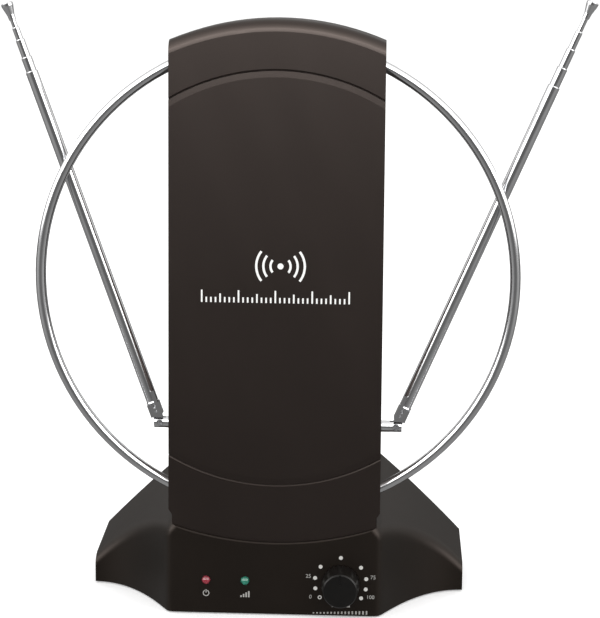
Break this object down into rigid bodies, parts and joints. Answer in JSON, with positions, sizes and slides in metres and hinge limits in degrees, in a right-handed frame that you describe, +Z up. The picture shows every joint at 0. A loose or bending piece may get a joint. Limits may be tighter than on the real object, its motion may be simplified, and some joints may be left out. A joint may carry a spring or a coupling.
{
  "type": "indoor television antenna",
  "caption": "Amplified indoor TV antenna: arched black panel on a winged base, chrome ring loop, telescopic rods on side swivels, gain knob and lamps.",
  "frame": {"origin": "centre of the base's footprint, on the table, at the underside of the non-slip pad", "axes": "+Z up, front of the panel towards -Y, +X to the right as seen from the front"},
  "size_m": [0.3337, 0.1375, 0.354],
  "materials": {
    "panel_black": "satin warm black ABS, faint mould texture",
    "base_black": "satin warm black ABS",
    "plate_black": "matt black ABS",
    "knob_black": "satin black ABS with a ribbed grip",
    "white_ink": "pad-printed white ink",
    "loop_chrome": "polished chromed steel tube",
    "ear_chrome": "polished chromed brass tube",
    "zinc_screw": "zinc-plated steel",
    "circuit_board": "green solder mask",
    "ferrite": "matt sintered ferrite",
    "lead_red": "PVC insulation",
    "coax_black": "PVC jacket",
    "contact_brass": "plain stamped brass",
    "ballast_iron": "bare cast block",
    "pad_foam": "matt foam rubber",
    "tinned_can": "tinned sheet steel",
    "capacitor_blue": "shrink sleeve",
    "pot_metal": "nickel-plated steel",
    "led_red": "tinted diffused epoxy, unlit",
    "led_green": "tinted diffused epoxy, unlit",
    "socket_nickel": "nickel-plated brass",
    "jack_black": "moulded nylon"
  },
  "bodies": {
    "chassis": {"panel_front_shell": "panel_black", "panel_rear_shell": "panel_black", "panel_screws": "zinc_screw", "panel_wave_emblem": "white_ink", "panel_band_marks": "white_ink", "balun_board": "circuit_board", "balun_transformer": "ferrite", "ear_leads": "lead_red", "feed_coax": "coax_black", "loop_ring": "loop_chrome", "loop_terminals": "contact_brass", "loop_terminal_screws": "zinc_screw", "base_shell": "base_black", "base_bottom_plate": "plate_black", "ballast_weight": "ballast_iron", "non_slip_pad": "pad_foam", "base_screws": "zinc_screw", "panel_foot_screws": "zinc_screw", "amplifier_board": "circuit_board", "board_screws": "zinc_screw", "tuner_shield_can": "tinned_can", "board_capacitors": "capacitor_blue", "potentiometer_body": "pot_metal", "potentiometer_nut": "zinc_screw", "dial_dots": "white_ink", "dial_numerals": "white_ink", "control_symbols": "white_ink", "power_led": "led_red", "gain_led": "led_green", "rf_socket": "socket_nickel", "rf_socket_nut": "zinc_screw", "dc_jack": "jack_black", "left_contact_washer": "contact_brass", "right_contact_washer": "contact_brass"},
    "gain_control": {"gain_knob": "knob_black", "gain_shaft": "pot_metal"},
    "left_swivel": {"left_swivel_fork": "ear_chrome", "left_swivel_nut": "zinc_screw", "left_hinge_screw": "zinc_screw", "left_hinge_nut": "zinc_screw"},
    "left_mast": {"left_knuckle": "ear_chrome", "left_tube_1": "ear_chrome"},
    "left_stage_2": {"left_tube_2": "ear_chrome"},
    "left_stage_3": {"left_tube_3": "ear_chrome"},
    "left_stage_4": {"left_tube_4": "ear_chrome"},
    "left_stage_5": {"left_rod_5": "ear_chrome", "left_tip_cap": "ear_chrome"},
    "right_swivel": {"right_swivel_fork": "ear_chrome", "right_swivel_nut": "zinc_screw", "right_hinge_screw": "zinc_screw", "right_hinge_nut": "zinc_screw"},
    "right_mast": {"right_knuckle": "ear_chrome", "right_tube_1": "ear_chrome"},
    "right_stage_2": {"right_tube_2": "ear_chrome"},
    "right_stage_3": {"right_tube_3": "ear_chrome"},
    "right_stage_4": {"right_tube_4": "ear_chrome"},
    "right_stage_5": {"right_rod_5": "ear_chrome", "right_tip_cap": "ear_chrome"}
  },
  "joints": [
    {"name": "gain_turn", "type": "hinge", "parent": "chassis", "child": "gain_control", "pos_m": [0.039, -0.055, 0.0207], "axis": [0, 1, 0], "range_deg": [-127, 127]},
    {"name": "left_swivel_turn", "type": "hinge", "parent": "chassis", "child": "left_swivel", "pos_m": [-0.0681, -0.032, 0.1086], "axis": [-1, 0, 0], "range_deg": [0, 95]},
    {"name": "left_tilt", "type": "hinge", "parent": "left_swivel", "child": "left_mast", "pos_m": [-0.0681, -0.032, 0.1086], "axis": [0, -1, 0], "range_deg": [-19.6, 69.4]},
    {"name": "left_slide_2", "type": "slide", "parent": "left_mast", "child": "left_stage_2", "axis": [-0.3355, 0, 0.9421], "range_m": [-0.0054, 0.17]},
    {"name": "left_slide_3", "type": "slide", "parent": "left_stage_2", "child": "left_stage_3", "axis": [-0.3355, 0, 0.9421], "range_m": [-0.0074, 0.166]},
    {"name": "left_slide_4", "type": "slide", "parent": "left_stage_3", "child": "left_stage_4", "axis": [-0.3355, 0, 0.9421], "range_m": [-0.0041, 0.164]},
    {"name": "left_slide_5", "type": "slide", "parent": "left_stage_4", "child": "left_stage_5", "axis": [-0.3355, 0, 0.9421], "range_m": [-0.0013, 0.159]},
    {"name": "right_swivel_turn", "type": "hinge", "parent": "chassis", "child": "right_swivel", "pos_m": [0.0694, -0.032, 0.1086], "axis": [-1, 0, 0], "range_deg": [0, 95]},
    {"name": "right_tilt", "type": "hinge", "parent": "right_swivel", "child": "right_mast", "pos_m": [0.0694, -0.032, 0.1086], "axis": [0, 1, 0], "range_deg": [-23.2, 65.8]},
    {"name": "right_slide_2", "type": "slide", "parent": "right_mast", "child": "right_stage_2", "axis": [0.3939, 0, 0.9191], "range_m": [-0.0081, 0.17]},
    {"name": "right_slide_3", "type": "slide", "parent": "right_stage_2", "child": "right_stage_3", "axis": [0.3939, 0, 0.9191], "range_m": [-0.0083, 0.169]},
    {"name": "right_slide_4", "type": "slide", "parent": "right_stage_3", "child": "right_stage_4", "axis": [0.3939, 0, 0.9191], "range_m": [-0.0075, 0.168]},
    {"name": "right_slide_5", "type": "slide", "parent": "right_stage_4", "child": "right_stage_5", "axis": [0.3939, 0, 0.9191], "range_m": [-0.0048, 0.166]}
  ]
}
